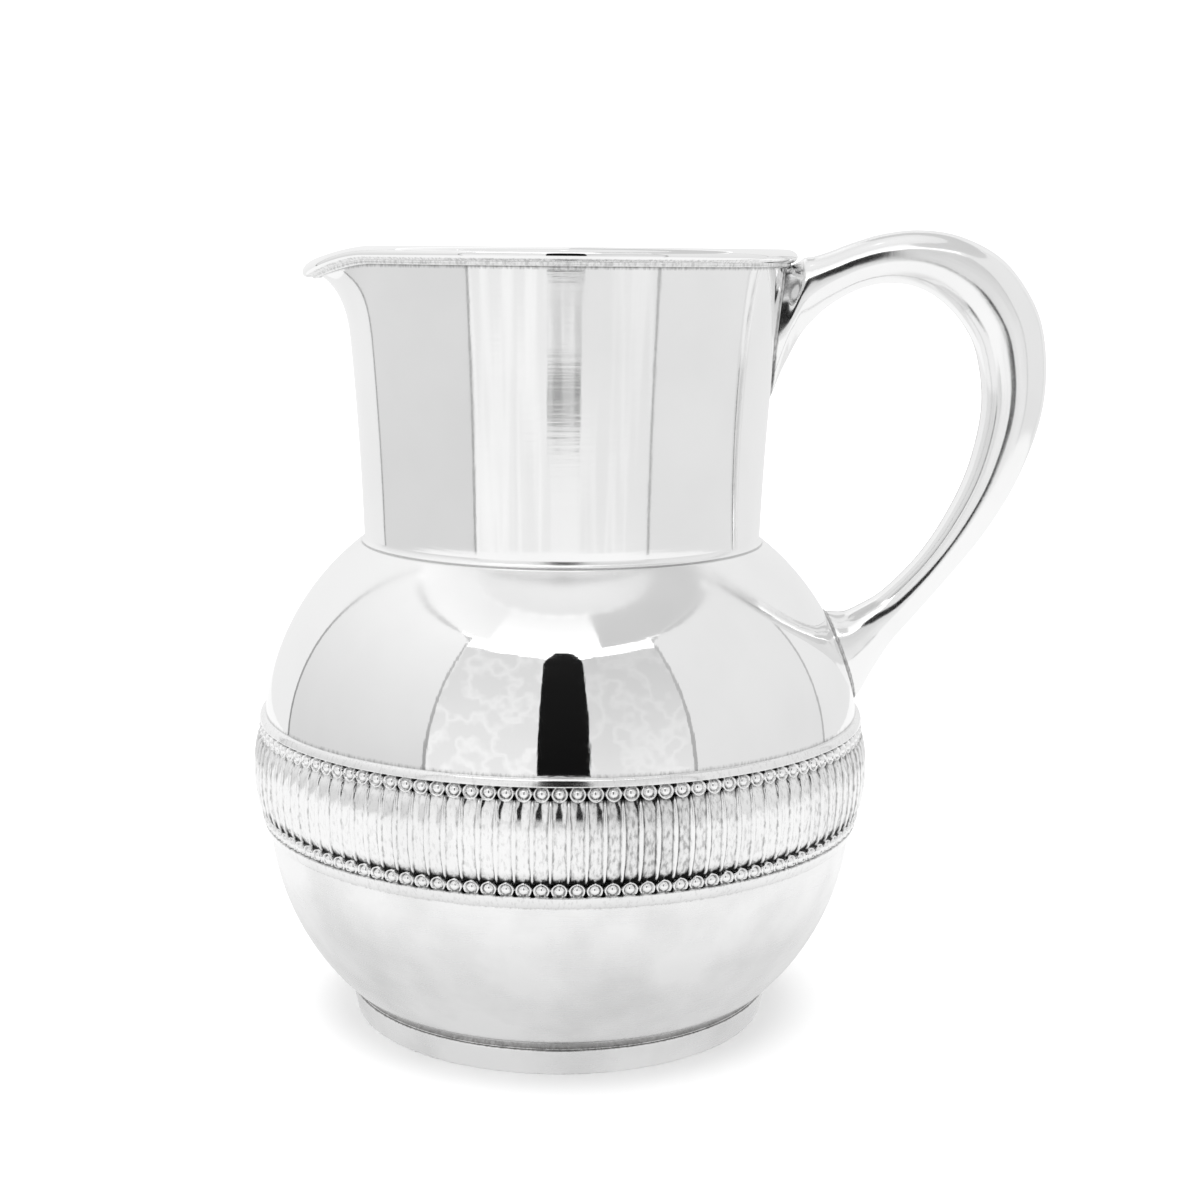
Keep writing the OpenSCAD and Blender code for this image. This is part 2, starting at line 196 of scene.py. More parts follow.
@dataclass(frozen=True)
class PitcherShape:
    """The sizes that the pieces share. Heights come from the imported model."""

    belly_r: float = 77.05
    bowl_step: float = 1.15
    bowl_arc: float = 62.5
    shoulder_arc: float = 64.7
    band_lift: float = 1.55
    base_corner: float = 3.0
    wall: float = 0.9
    neck_r: float = 50.8
    neck_top_r: float = 55.7
    neck_len: float = 70.0
    crease_fillet: float = 2.0
    flare_straight: float = 0.44
    lip_half: float = 38.0
    lip_reach: float = 6.6
    lip_dip: float = 3.8
    lip_depth: float = 20.7
    lip_tilt: float = 32.0
    rim_h: float = 3.2
    rim_out: float = 3.1
    rim_crown: float = 3.3
    skirt_h: float = 1.1
    skirt_out: float = 1.4

    @staticmethod
    @cache
    def low(node: str) -> float:
        """The lowest height of a CAD node, in millimetres."""
        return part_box(node)[0].z / MM

    @staticmethod
    @cache
    def high(node: str) -> float:
        """The highest height of a CAD node, in millimetres."""
        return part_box(node)[1].z / MM

    @property
    def base_z(self) -> float:
        """Height of the bowl's flat base."""
        return self.low("lower_bowl")

    @property
    def crease_z(self) -> float:
        """Height of the crease between shoulder and neck."""
        return self.high("shoulder")

    @property
    def band(self) -> tuple[float, float, float, float]:
        """Heights where the lower border, the flutes and the upper border start and end."""
        lows, highs = ("lower_bead_border", "fluted_band"), ("fluted_band", "upper_bead_border")
        return (*map(self.low, lows), *map(self.high, highs))

    @property
    def shoulder_centre(self) -> tuple[float, float]:
        """Centre of the shoulder's arc, found from its top edge."""
        x = self.belly_r - self.shoulder_arc
        return x, self.crease_z - math.sqrt(self.shoulder_arc**2 - (self.neck_r - x) ** 2)

    @property
    def bowl_centre(self) -> tuple[float, float]:
        """Centre of the lower bowl's arc.

        Returns:
            Its radius and height.
        """
        low, _, _, high = self.band
        middle = (low + high) / 2 - self.band_lift
        return self.belly_r - self.bowl_step - self.bowl_arc, 2 * middle - self.shoulder_centre[1]

    @property
    def neck_top(self) -> float:
        """Height of the neck's top edge away from the lip."""
        return self.crease_z + self.neck_len

    def neck_x(self, z: Grid) -> Grid:
        """Radius of the neck away from the lip.

        Args:
            z: heights.

        Returns:
            A radius for each height.
        """
        t = (z - self.crease_z) / (self.neck_top - self.crease_z)
        curve = self.flare_straight * t + (1 - self.flare_straight) * t * t
        return self.neck_r + (self.neck_top_r - self.neck_r) * curve

    def lip_point(self, z: float, turn: Grid, across: float = 0.0, up: float = 0.0) -> Grid:
        """Points of the neck at one height, drawn out where the lip is.

        Args:
            z: height on the undrawn neck.
            turn: angles from the lip's middle, in degrees.
            across: how far beside the neck's outside the points are.
            up: how far above it they are, in the lip's tilted frame.

        Returns:
            One point for each angle.
        """
        s = max(0.0, (z - self.neck_top + self.lip_depth) / self.lip_depth)
        drawn = np.cos(np.radians(90 * turn / self.lip_half))
        share = np.where(np.abs(turn) < self.lip_half, drawn, 0) ** 2
        tilt = np.radians(self.lip_tilt * share * s**2)
        r = self.neck_x(np.asarray(z)) + self.lip_reach * share * s**2.4
        r = r + across * np.cos(tilt) + up * np.sin(tilt)
        height = z - self.lip_dip * share * s**3 - across * np.sin(tilt) + up * np.cos(tilt)
        a = np.radians(turn)
        return np.stack([-r * np.cos(a), -r * np.sin(a), height], axis=-1)

    def rim_outline(self, steps: int = 18) -> Grid:
        """The rim wire's cross-section, beside and above the neck's top edge.

        Args:
            steps: how many steps the roll takes.

        Returns:
            A closed outline of (across, up) points.
        """
        bulge_up, roll_start = 1.3, -52.0
        crown, edge = self.rim_out - self.rim_crown, 0.45
        t = np.radians(np.linspace(roll_start, 90, steps + 1))
        roll_up = bulge_up + (self.rim_h - bulge_up) * np.sin(t)
        roll = np.stack([crown + self.rim_crown * np.cos(t), roll_up], axis=1)
        inner_r, inner_up = 1.25, [3.16, 3.0, 2.6, 2.0]
        inner_turn = np.radians([110, 135, 160, 180])
        inside = np.stack([crown + inner_r * np.cos(inner_turn), inner_up], axis=1)
        skirt = arc((self.skirt_out - edge, 0.0), edge, -90, 0, 5) + [0, -self.skirt_h + edge]
        foot = np.array([[0.02, -self.skirt_h - 0.25], [0.3, -self.skirt_h - 0.08]])
        return np.vstack([[[-self.wall, 0.0]], foot, skirt, [[self.skirt_out, -0.25]], roll, inside])

    def outside(self) -> Grid:
        """The outline that the handle's roots meet: shoulder, neck and rim.

        Returns:
            Its points, by rising height.
        """
        centre = self.shoulder_centre
        ends = (self.band[3], self.crease_z)
        start, end = (math.degrees(math.asin((z - centre[1]) / self.shoulder_arc)) for z in ends)
        shoulder = arc(centre, self.shoulder_arc, start, end, 40)
        levels = np.linspace(self.crease_z + 0.3, self.neck_top - self.skirt_h - 0.3, 40)
        neck = np.stack([self.neck_x(levels), levels], axis=1)
        beside = [self.skirt_out, self.rim_out, self.rim_out, 1.2]
        above = [-self.skirt_h, 0.9, 1.6, self.rim_h]
        rim = np.stack([beside, above], axis=1) + [self.neck_top_r, self.neck_top]
        return np.vstack([shoulder, neck, rim])

    def outside_radius(self, z: Grid) -> Grid:
        """Radius of that outline at each height."""
        line = self.outside()
        return np.interp(z, line[:, 1], line[:, 0])


SHAPE = PitcherShape()


# ---- finishes ----

@dataclass(frozen=True)
class Grain:
    """A noise pattern: how much finer it is along each axis, its fineness and its finer layers."""

    stretch: tuple[float, float, float]
    scale: float
    detail: float


CLOUD = Grain((1, 1, 1), 38.0, 4.0)
WIPE = Grain((40, 40, 620), 1.6, 3.0)
SWIRL = Grain((420, 60, 90), 1.9, 3.0)
FLECK = Grain((1, 1, 0.4), 1400.0, 4.0)
FOLDS = Grain((1, 1, 1), 10.0, 2.0)


class Nodes:
    """A material's node tree, with short ways to add and join its nodes."""

    def __init__(self, name: str) -> None:
        """Makes a new material.

        Args:
            name: the material's name.
        """
        self.material = bpy.data.materials.new(name)
        self.material.use_nodes = True
        self.tree = self.material.node_tree
        self.place = self.tree.nodes.new("ShaderNodeTexCoord").outputs["Object"]

    def put(self, value: Socket | float, target: Socket) -> None:
        """Links a socket to another, or sets it to a value.

        Args:
            value: the socket to link from, or the value.
            target: the socket it goes to.
        """
        if isinstance(value, Socket):
            self.tree.links.new(value, target)
        else:
            target.default_value = value

    def math(self, operation: str, *values: Socket | float) -> Socket:
        """Puts one or two values through a math node.

        Args:
            operation: the node's operation.
            values: what goes in.

        Returns:
            The result.
        """
        node = self.tree.nodes.new("ShaderNodeMath")
        node.operation = operation
        for value, target in zip(values, node.inputs):
            self.put(value, target)
        return node.outputs[0]

    def spread(
        self, value: Socket, source: tuple[float, float], target: tuple[float, float], soft: bool = False
    ) -> Socket:
        """Moves a value from one range to another.

        Args:
            value: the value.
            source: the range it is read over.
            target: the range it is given.
            soft: whether it eases in and out.

        Returns:
            The moved value.
        """
        node = self.tree.nodes.new("ShaderNodeMapRange")
        if soft:
            node.interpolation_type = "SMOOTHSTEP"
        node.inputs["From Min"].default_value, node.inputs["From Max"].default_value = source
        node.inputs["To Min"].default_value, node.inputs["To Max"].default_value = target
        self.put(value, node.inputs["Value"])
        return node.outputs["Result"]

    def noise(self, grain: Grain) -> Socket:
        """Lays a noise pattern along the object's axes.

        Args:
            grain: the pattern.

        Returns:
            Its value, about 0.5 on average.
        """
        turn = self.tree.nodes.new("ShaderNodeMapping")
        turn.inputs["Scale"].default_value = grain.stretch
        self.put(self.place, turn.inputs["Vector"])
        noise = self.tree.nodes.new("ShaderNodeTexNoise")
        noise.inputs["Scale"].default_value = grain.scale
        noise.inputs["Detail"].default_value = grain.detail
        self.put(turn.outputs["Vector"], noise.inputs["Vector"])
        return noise.outputs[0]

    def attribute(self, name: str) -> Socket:
        """Reads a value stored on the mesh's points.

        Args:
            name: the value's name.

        Returns:
            The value.
        """
        node = self.tree.nodes.new("ShaderNodeAttribute")
        node.attribute_name = name
        return node.outputs["Fac"]

    def blend(self, share: Socket, first: Socket | tuple, second: tuple) -> Socket:
        """Blends two colours.

        Args:
            share: how much of the second colour there is.
            first: the first colour.
            second: the second colour.

        Returns:
            The blended colour.
        """
        mix = self.tree.nodes.new("ShaderNodeMixRGB")
        for value, name in ((share, "Fac"), (first, "Color1"), (second, "Color2")):
            self.put(value, mix.inputs[name])
        return mix.outputs["Color"]

    def glow(self, strength: Socket) -> Material:
        """Turns the material into a plain light.

        Args:
            strength: how bright each place is.

        Returns:
            The material.
        """
        self.tree.nodes.remove(self.tree.nodes["Principled BSDF"])
        light = self.tree.nodes.new("ShaderNodeEmission")
        self.put(light.outputs[0], self.tree.nodes["Material Output"].inputs["Surface"])
        self.put(strength, light.inputs["Strength"])
        return self.material


@dataclass(frozen=True)
class SilverFinish:
    """Silver with fine wipe scratches, a mottle, and a dark colour for patina and painted shade wherever
    the mesh's darkening value is high.

    The higher the fleck power, the more thin patina and painted shade break up into flecks.
    """

    wear: Wear
    colour: tuple[float, float, float]
    # dark colour for both patina and painted shade
    patina_and_shade_colour: tuple[float, float, float]
    roughness: float
    mottle: float
    scratch: float
    fleck_power: float
    scratch_depth: float = 0.05

    def material(self) -> Material:
        """Makes the procedural material.

        Returns:
            The material, or the one already made for this wear.
        """
        name = f"{self.wear.value}_finish"
        if name in bpy.data.materials:
            return bpy.data.materials[name]
        nodes = Nodes(name)
        inputs = nodes.tree.nodes["Principled BSDF"].inputs
        inputs["Metallic"].default_value = 1.0
        cloud, wipe = nodes.noise(CLOUD), nodes.noise(WIPE)
        nodes.put(self._shade(nodes, cloud), inputs["Base Color"])
        nodes.put(self._polish(nodes, cloud, wipe), inputs["Roughness"])
        nodes.put(self._scratch(nodes, wipe), inputs["Normal"])
        return nodes.material

    def _shade(self, nodes: Nodes, cloud: Socket) -> Socket:
        """Colours the metal, mixing in patina and painted shade where the mesh's darkening value is
        high.

        Args:
            nodes: the material's nodes.
            cloud: the slow mottle.

        Returns:
            The colour.
        """
        broken = nodes.spread(nodes.noise(FLECK), (0.35, 0.62), (self.fleck_power, 0.9))
        # painted shade and patina: the mesh's darkening value, broken into flecks, pulls the metal
        # toward the dark colour
        dark = nodes.math("POWER", nodes.attribute("tarnish_and_shade"), broken)
        dull = tuple(c * (1 - self.mottle) for c in self.colour)
        tone = nodes.blend(nodes.spread(cloud, (0.42, 0.66), (0.0, 1.0)), (*self.colour, 1), (*dull, 1))
        return nodes.blend(dark, tone, (*self.patina_and_shade_colour, 1))

    def _polish(self, nodes: Nodes, cloud: Socket, wipe: Socket) -> Socket:
        """Sets how sharp the reflections are, softer along the wipe marks and where it is dulled.

        Args:
            nodes: the material's nodes.
            cloud: the slow mottle.
            wipe: the wipe marks.

        Returns:
            The roughness.
        """
        low, high = self.roughness * (1 - self.mottle), self.roughness * (1 + 3 * self.mottle)
        slow = nodes.spread(cloud, (0.35, 0.7), (low, high))
        fine = nodes.spread(wipe, (0.4, 0.75), (0.9, 1.5))
        return nodes.math("ADD", nodes.math("MULTIPLY", slow, fine), nodes.attribute("haze"))

    def _scratch(self, nodes: Nodes, wipe: Socket) -> Socket:
        """Gives the surface its fine scratches.

        Args:
            nodes: the material's nodes.
            wipe: the level wipe marks, which the swirl marks cross.

        Returns:
            The scratched surface's direction.
        """
        bump = nodes.tree.nodes.new("ShaderNodeBump")
        bump.inputs["Strength"].default_value = self.scratch
        bump.inputs["Distance"].default_value = self.scratch_depth * MM
        nodes.put(nodes.math("MULTIPLY", wipe, nodes.noise(SWIRL)), bump.inputs["Height"])
        return bump.outputs["Normal"]


POLISHED = SilverFinish(Wear.POLISHED, (0.925,) * 3, (0.05,) * 3, 0.028, 0.03, 0.20, 2.0)
WORN = SilverFinish(Wear.WORN, (0.90,) * 3, (0.10, 0.095, 0.09), 0.20, 0.15, 0.35, 2.4)
# the band's near-black dark colour stands for its patina and for painted shade in its hollows
TARNISHED = SilverFinish(Wear.TARNISHED, (0.93,) * 3, (0.012,) * 3, 0.11, 0.06, 0.2, 3.6)


def dress(piece: Piece, finish: SilverFinish, *nodes: str) -> Object:
    """Builds a piece, gives it its finish, parents it to the body and hides the CAD nodes that it stands
    for.

    Args:
        piece: the piece.
        finish: its silver.
        nodes: the CAD nodes it replaces.

    Returns:
        The piece's object.
    """
    obj = piece.build()
    obj.data.materials.append(finish.material())
    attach(obj, BODY)
    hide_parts(*nodes)
    return obj


# ---- the pitcher's sub-assemblies ----


@dataclass
class Foot:
    """The ring that the pitcher stands on, and the concave collar soldered over it."""

    top_r: float = 0.0
    thickness: float = 3.0
    batter: float = 1.2
    edge: float = 0.55
    cove: float = 1.35
    collar_inset: float = 0.3

    def __post_init__(self) -> None:
        """Takes the ring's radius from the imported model."""
        self.top_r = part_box("foot_ring")[1].x / MM

    def ring(self) -> Object:
        """Builds the foot ring with its softened edges.

        Returns:
            The dressed ring.
        """
        high = SHAPE.high("foot_ring")
        e, inner = self.edge, self.top_r - self.thickness
        low_r = self.top_r - self.batter
        sides = [
            arc((inner + e, e), e, 180, 270, 5),
            arc((low_r - e, e), e, 270, 360, 6),
            arc((self.top_r - e, high - e), e, 0, 90, 6),
            arc((inner + e, high - e), e, 90, 180, 5),
        ]
        grid = lathe(np.vstack(sides))
        seam = smooth(grid[:, :, 2], high - 0.5, high - 0.05)
        return dress(Piece("foot_ring_silver", grid, tarnish_and_shade=0.8 * seam), WORN, "foot_ring")

    def collar(self) -> Object:
        """Builds the collar, grimy along its solder, with painted shade along its top under the bowl.

        Returns:
            The dressed collar.
        """
        low, high = SHAPE.low("foot_collar"), SHAPE.high("foot_collar")
        rise = high - low
        radius = (rise**2 + self.cove**2) / (2 * self.cove)
        edge_r = self.top_r - self.collar_inset
        t = np.linspace(0, 1, 14)
        z = low + rise * t
        r = edge_r - self.cove + radius - np.sqrt(np.maximum(radius**2 - (high - z) ** 2, 0))
        inner = self.top_r - self.thickness - 1
        profile = np.vstack([[[inner, low]], np.stack([r, z], axis=1), [[inner, high]]])
        grid = lathe(profile, FINE_TURNS)
        a = np.linspace(0, 2 * math.pi, FINE_TURNS, endpoint=False)
        coarse, fine = np.sin(23 * a + 1.3 * np.sin(7 * a)), np.sin(61 * a + 2 * np.sin(11 * a))
        ragged = 0.5 + 0.25 * coarse + 0.25 * fine
        line = 1 - smooth(grid[:, :, 2], low + 0.05, low + 0.6)
        # painted shade along the collar's top, in the crease under the bowl's underside
        top = smooth(grid[:, :, 2], high - 0.5, high) * 0.5
        tarnish_and_shade = line * (0.2 + 0.45 * ragged) + top
        return dress(Piece("foot_collar_silver", grid, tarnish_and_shade=tarnish_and_shade), WORN, "foot_collar")


@dataclass
class Body:
    """The raised body: the lower bowl and the shoulder, which meet behind the band."""

    steps: int = 48
    behind_band: float = 2.5

    def _corner(self) -> tuple[tuple[float, float], float]:
        """Finds the small arc between the base and the bowl.

        Returns:
            Its centre, and the angle at which it joins the bowl.
        """
        bx, bz = SHAPE.bowl_centre
        z = SHAPE.base_z + SHAPE.base_corner
        x = bx + math.sqrt((SHAPE.bowl_arc - SHAPE.base_corner) ** 2 - (bz - z) ** 2)
        return (x, z), math.degrees(math.atan2(z - bz, x - bx))

    def _bowl_line(self, inset: float) -> Grid:
        """The bowl's outline from the middle of its base up to the band.

        Args:
            inset: how far inside the silver's outside it runs.

        Returns:
            Its points.
        """
        centre, turn = self._corner()
        bx, bz = SHAPE.bowl_centre
        end = math.degrees(math.asin((SHAPE.band[0] + self.behind_band - bz) / SHAPE.bowl_arc))
        flat = np.linspace(0.02, centre[0], 12)
        base = np.stack([flat, np.full(len(flat), SHAPE.base_z + inset)], axis=1)
        corner = arc(centre, SHAPE.base_corner - inset, -90, turn, 8)
        side = arc((bx, bz), SHAPE.bowl_arc - inset, turn, end, self.steps)
        return np.vstack([base, corner[1:], side[1:]])

    def bowl(self) -> Object:
        """Builds the lower bowl.

        Returns:
            The dressed bowl.
        """
        outer, inner = self._bowl_line(0), self._bowl_line(SHAPE.wall)
        grid = lathe(np.vstack([outer, inner[::-1]]), FINE_TURNS)
        z = grid[:, :, 2]
        # painted shade at the base, in the crease where the bowl meets the collar
        foot = 1 - smooth(z, SHAPE.base_z + 0.2, SHAPE.base_z + 1.2)
        # painted shade just below the band's lower edge, where the band overhangs the bowl
        under = smooth(z, SHAPE.band[0] - 0.35, SHAPE.band[0] - 0.05) * 0.75
        inside = np.arange(len(grid)) >= len(outer)
        tarnish_and_shade = np.where(inside[:, None], 0, np.maximum(foot * 0.7, under))
        piece = Piece("lower_bowl_silver", grid, closed_rows=False, tarnish_and_shade=tarnish_and_shade)
        return dress(piece, WORN, "lower_bowl")

    def shoulder(self) -> Object:
        """Builds the shoulder up to its crease.

        Returns:
            The dressed shoulder.
        """
        cx, cz = SHAPE.shoulder_centre
        high = SHAPE.band[3]
        fillet_x = SHAPE.neck_r + SHAPE.crease_fillet
        end = math.degrees(math.acos((fillet_x - cx) / (SHAPE.shoulder_arc + SHAPE.crease_fillet)))
        start = math.degrees(math.asin((high - self.behind_band - cz) / SHAPE.shoulder_arc))
        outer = arc((cx, cz), SHAPE.shoulder_arc, start, end, self.steps)
        inner = arc((cx, cz), SHAPE.shoulder_arc - SHAPE.wall, start, end - 0.2, self.steps)
        grid = lathe(np.vstack([outer, inner[::-1]]), FINE_TURNS)
        # painted shade in the crease just above the band's upper border
        over = 1 - smooth(grid[:, :, 2], high + 0.02, high + 0.4)
        over[len(outer) :] = 0
        worn = 0.17 * smooth(grid[:, :, 2], high + 24, SHAPE.crease_z + 2)
        piece = Piece("shoulder_silver", grid, tarnish_and_shade=0.6 * over, haze=worn)
        return dress(piece, POLISHED, "shoulder")


@dataclass
class Neck:
    """The flared neck, drawn out into the lip, and the moulded wire round its rim."""

    levels: int = 56
    turns: int = FINE_TURNS

    def _angles(self) -> Grid:
        """Angles round the neck from the lip's middle, in degrees."""
        return np.linspace(-180, 180, self.turns, endpoint=False)

    def _level(self, radius: float, height: float) -> Grid:
        """A level ring of points."""
        a = np.radians(self._angles())
        return np.stack([-radius * np.cos(a), -radius * np.sin(a), np.full(self.turns, height)], axis=-1)

    def sheet(self) -> Object:
        """Builds the neck with the soft crease under it.

        Returns:
            The dressed neck.
        """
        cx, cz = SHAPE.shoulder_centre
        f = SHAPE.crease_fillet
        x = SHAPE.neck_r + f
        z = cz + math.sqrt((SHAPE.shoulder_arc + f) ** 2 - (x - cx) ** 2)
        start = math.degrees(math.atan2(cz - z, cx - x)) % 360
        crease = arc((x, z), f, start, 180, 8)
        rows = [self._level(radius, height) for radius, height in crease[:-1]]
        heights = z + (SHAPE.neck_top - z) * np.linspace(0, 1, self.levels) ** 0.8
        outer = [SHAPE.lip_point(h, self._angles()) for h in heights]
        inner = [SHAPE.lip_point(h, self._angles(), -SHAPE.wall) for h in heights[::-1]]
        bottom = self._level(SHAPE.neck_r - SHAPE.wall, z - 1.0)
        grid = np.stack(rows + outer + inner + [bottom])
        tarnish_and_shade = np.zeros(grid.shape[:2])
        haze = np.full(grid.shape[:2], 0.035)
        haze[: len(rows)] = 0.2
        below = SHAPE.neck_top - SHAPE.skirt_h - heights
        # painted shade in a line just under the rim's skirt
        line = 1 - smooth(below, 0.02, 0.45)
        tarnish_and_shade[len(rows) : len(rows) + self.levels] = line[:, None] * 0.85
        return dress(Piece("neck_silver", grid, tarnish_and_shade=tarnish_and_shade, haze=haze), POLISHED, "neck")

    def rim(self) -> Object:
        """Builds the rim wire along the neck's edge and over the lip.

        Returns:
            The dressed rim.
        """
        outline = SHAPE.rim_outline()
        grid = np.stack([SHAPE.lip_point(SHAPE.neck_top, self._angles(), x, y) for x, y in outline])
        tarnish_and_shade = np.zeros(grid.shape[:2])
        # painted shade on the skirt's downward-facing underside
        under = (outline[:, 1] < 0.45) & (outline[:, 0] > SHAPE.skirt_out - 0.2)
        tarnish_and_shade[under] = 0.35
        # painted shade in the crease where the skirt meets the neck
        tarnish_and_shade[1:3] = 0.8
        return dress(Piece("rim_wire_silver", grid, tarnish_and_shade=tarnish_and_shade), POLISHED, "rim_wire")


@dataclass
class Band:
    """The applied band: flutes and spindle ribs between two rows of collared beads.

    Each stain is the angle of its middle right of the front, its half width and its depth.
    """

    count: int = 120
    columns: int = 26
    first_rib: float = 0.0427
    crest_arc: float = 37.6
    crest_x: float = 42.1
    crest_z: float = 65.9
    rib_half: float = 0.62
    flute_depth: float = 0.62
    bead_r: float = 1.15
    collar_r: float = 1.66
    collar_half: float = 0.22
    bead_edge: float = 1.5
    scallop: float = 0.45
    mean_r: float = 78.2
    back_r: float = 75.6
    upper_edge_r: float = 77.35
    lower_edge_r: float = 76.15
    stains: tuple[tuple[float, float, float], ...] = ((17, 13, 0.42), (62, 16, 0.25))

    @property
    def half_pitch(self) -> float:
        """Half the distance from one bead to the next."""
        return math.pi * self.mean_r / self.count

    def crest(self, z: Grid) -> Grid:
        """Radius of the ribs' crests at each height."""
        return self.crest_x + np.sqrt(self.crest_arc**2 - (z - self.crest_z) ** 2)

    def _places(self) -> tuple[Grid, Grid]:
        """The columns of the band.

        Returns:
            Their angles in radians, and their distances from the nearest bead's middle.
        """
        total = self.count * self.columns
        step = 2 * math.pi / self.count
        turn = np.arange(total) / total * 2 * math.pi
        off = (turn % step) - step / 2
        angle = turn + self.first_rib - math.pi / 2
        return angle, np.abs(off) * self.mean_r

    def _strip(self, z: Grid, c: Grid) -> tuple[Grid, Grid]:
        """The flutes and ribs.

        Args:
            z: heights.
            c: distances from the flute's middle.

        Returns:
            Radii, and how much painted shade, stains and patina darken each point.
        """
        _, low, high, _ = SHAPE.band
        middle = (low + high) / 2
        v = np.abs(z - middle) / ((high - low) / 2)
        beside = self.half_pitch - c
        width = self.rib_half * np.sqrt(np.clip(1.06 - v**2, 0.0, 1))
        rib = 1 - smooth(beside / np.maximum(width, 0.05), 0.35, 1.15)
        rib = rib * (1 - smooth(v, 0.86, 1.0))
        scoop = 1 - (c / self.half_pitch) ** 2
        hollow = self.flute_depth * (0.55 + 0.45 * scoop)
        deep = 0.55 * smooth(v, 0.72, 0.98) * (0.4 + 0.6 * scoop)
        radius = self.crest(z) - 0.12 * v**2 - (hollow + deep) * (1 - rib)
        # painted shade in a thin line along the foot of each rib
        edge = peak(beside, width * 1.15, 0.22)
        side = np.clip(beside / self.half_pitch, 0, 1)
        # painted shade at the flute ends, strongest at the lower ends where the band curves in
        low_end_shade = smooth(v, 0.62 + 0.25 * side, 0.97)
        end = np.where(z < middle, low_end_shade, 0.5 * smooth(v, 0.84, 1.0))
        # painted shade at the ends and rib edges, plus the stains
        dark = (end + 0.42 * edge + self._stain()) * (1 - rib)
        return radius, np.clip(dark, 0, 1)

    def _stain(self) -> Grid:
        """How stained the flutes are, most of all right of the front's middle.

        Returns:
            A depth for each column.
        """
        angle, _ = self._places()
        turn = (np.degrees(angle) + 90 + 180) % 360 - 180
        return sum((darkening * peak(turn, middle, half) for middle, half, darkening in self.stains), start=0.1)

    def _border(self, z: Grid, c: Grid, way: int) -> tuple[Grid, Grid]:
        """A row of collared beads with its plain edge.

        Args:
            z: heights.
            c: distances from the bead's middle.
            way: 1 for the upper border, -1 for the lower one.

        Returns:
            Radii, and how much painted shade and patina darken each point.
        """
        low, strip_low, strip_high, high = SHAPE.band
        inner, outer = (strip_high, high) if way > 0 else (strip_low, low)
        bead_z = inner + way * self.bead_edge
        floor = self.crest(bead_z) - 0.95
        up = (z - bead_z) * way
        rho = np.hypot(c, up)
        bead = np.sqrt(np.maximum(self.bead_r**2 - rho**2, 0)) * 0.9
        bead = bead + np.where(rho < self.bead_r, 0.12, 0)
        line = 1 - smooth(np.abs(rho - self.collar_r), self.collar_half * 0.5, self.collar_half * 1.35)
        ring = 0.95 * line * (1 - smooth(up, 0.95, 1.5))
        edge_z = abs(outer - bead_z)
        plain = smooth(up, 1.35, 1.75)
        t = np.clip((edge_z - up) / (edge_z - 1.5), 0, 1)
        lip = np.sqrt(np.clip(1 - (1 - t) ** 3, 0, 1))
        edge_r, slant = (self.upper_edge_r, 0.45) if way > 0 else (self.lower_edge_r, 1.0)
        strip = edge_r - 0.35 + 0.75 * lip + slant * t
        slope = self.crest(z) - self.crest(bead_z)
        relief = np.maximum(bead, ring)
        off_ring = 1 - np.clip(ring / 0.5, 0, 1)
        sunk = 1.2 * smooth(-up, self.bead_edge - 0.25, self.bead_edge + 0.05) * off_ring
        field = floor + 0.35 * slope + relief - sunk
        radius = field * (1 - plain) + strip * plain
        # painted shade and patina in the hollows between beads and collars
        gap = 1 - np.clip(relief / 0.62, 0, 1)
        outer_pit = peak(c, self.half_pitch, 0.42) * peak(up, 1.15, 0.5)
        inner_pit = peak(c, self.half_pitch, 0.75) * peak(up, -1.25, 0.6)
        radius = radius - 0.4 * (outer_pit + inner_pit) * (1 - plain) * off_ring
        # painted shadow in the pits between the collars
        inner_dark = inner_pit * (0.7 if way > 0 else 1.3)
        dark = (gap * 0.8 + (1.2 * outer_pit + inner_dark) * gap) * (1 - 0.9 * plain)
        # painted shade in a thin line at the step to the plain edge
        edge_shade_line = peak(up, 1.6, 0.2) * 0.3
        return radius, np.clip(dark + edge_shade_line, 0, 1)

    def _ring(self, node: str, heights: Grid, way: int) -> Object:
        """Builds one of the band's three rings.

        Args:
            node: the CAD node that it stands for.
            heights: the heights of its rows.
            way: 0 for the flutes, 1 for the upper border, -1 for the lower one.

        Returns:
            The dressed ring.
        """
        angle, c = self._places()
        z, across = np.meshgrid(heights, c, indexing="ij")
        radius, tarnish_and_shade = self._border(z, across, way) if way else self._strip(z, across)
        radius = np.vstack([radius, np.full((2, len(angle)), self.back_r)])
        z = np.vstack([z, np.full(len(angle), heights[-1]), np.full(len(angle), heights[0])])
        tarnish_and_shade = np.vstack([tarnish_and_shade, np.zeros((2, len(angle)))])
        grid = np.stack([radius * np.cos(angle), radius * np.sin(angle), z], axis=2)
        return dress(Piece(f"{node}_silver", grid, tarnish_and_shade=tarnish_and_shade), TARNISHED, node)

    def build(self) -> list[Object]:
        """Builds the strip and both borders.

        Returns:
            The three dressed pieces.
        """
        low, strip_low, strip_high, high = SHAPE.band
        rings = (
            ("fluted_band", strip_low, strip_high, 44, 0),
            ("upper_bead_border", strip_high - self.scallop, high, 36, 1),
            ("lower_bead_border", low, strip_low + self.scallop, 42, -1),
        )
        return [self._ring(node, np.linspace(a, b, rows), way) for node, a, b, rows, way in rings]


@dataclass(frozen=True)
class Station:
    """The handle's section at one place along it."""

    drop: float
    reach: float
    half_t: float
    angle: float
    half_w: float
    inner_point: float = 0.0
    outer_point: float = 0.0


